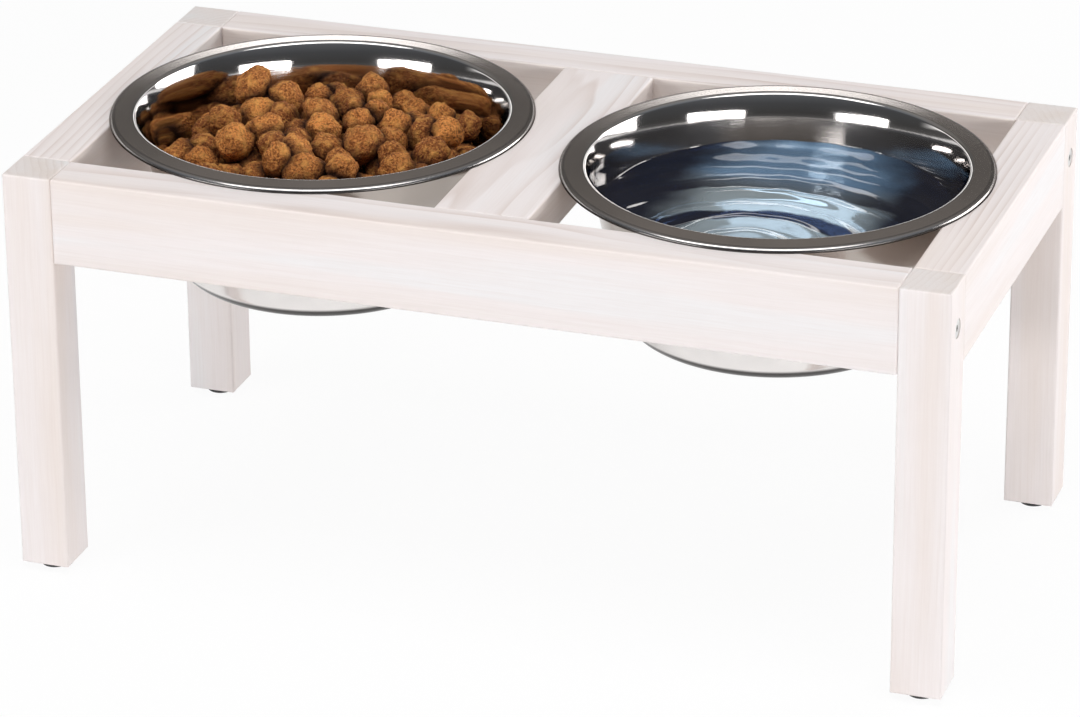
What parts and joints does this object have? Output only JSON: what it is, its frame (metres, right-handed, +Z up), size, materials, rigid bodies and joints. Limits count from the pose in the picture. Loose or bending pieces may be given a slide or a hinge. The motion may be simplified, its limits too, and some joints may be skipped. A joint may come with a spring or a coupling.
{
  "type": "dog feeder stand",
  "caption": "Raised dog feeder stand of whitewashed pine: square legs, rails and a centre bar around openings that carry lift-out steel bowls by their flat rims.",
  "frame": {"origin": "on the floor under the middle of the stand", "axes": "+X along the stand from the left bowl to the right bowl, +Y from the front rail to the rear rail, +Z up"},
  "size_m": [0.6, 0.31, 0.2736],
  "materials": {
    "whitewashed_pine": "whitewashed, matt",
    "beech": "raw",
    "zinc_steel": "zinc plated",
    "glide_plastic": "moulded, matt",
    "stainless_steel": "polished inside, satin rim and outside"
  },
  "bodies": {
    "stand": {"leg_front_left": "whitewashed_pine", "leg_front_right": "whitewashed_pine", "leg_rear_left": "whitewashed_pine", "leg_rear_right": "whitewashed_pine", "front_rail": "whitewashed_pine", "rear_rail": "whitewashed_pine", "left_rail": "whitewashed_pine", "right_rail": "whitewashed_pine", "centre_bar": "whitewashed_pine", "dowels_front_rail": "beech", "dowels_rear_rail": "beech", "dowels_left_rail": "beech", "dowels_right_rail": "beech", "dowels_centre_bar": "beech", "bolt_front_left": "zinc_steel", "bolt_front_right": "zinc_steel", "bolt_rear_left": "zinc_steel", "bolt_rear_right": "zinc_steel", "barrel_nut_front_left": "zinc_steel", "barrel_nut_front_right": "zinc_steel", "barrel_nut_rear_left": "zinc_steel", "barrel_nut_rear_right": "zinc_steel", "glide_front_left": "glide_plastic", "glide_front_right": "glide_plastic", "glide_rear_left": "glide_plastic", "glide_rear_right": "glide_plastic", "glide_nails": "zinc_steel"},
    "bowl_left": {"left_bowl": "stainless_steel"},
    "bowl_right": {"right_bowl": "stainless_steel"}
  },
  "joints": [
    {"name": "left_bowl_lift", "type": "slide", "parent": "stand", "child": "bowl_left", "axis": [0, 0, 1], "range_m": [0, 0.12]},
    {"name": "right_bowl_lift", "type": "slide", "parent": "stand", "child": "bowl_right", "axis": [0, 0, 1], "range_m": [0, 0.12]}
  ]
}
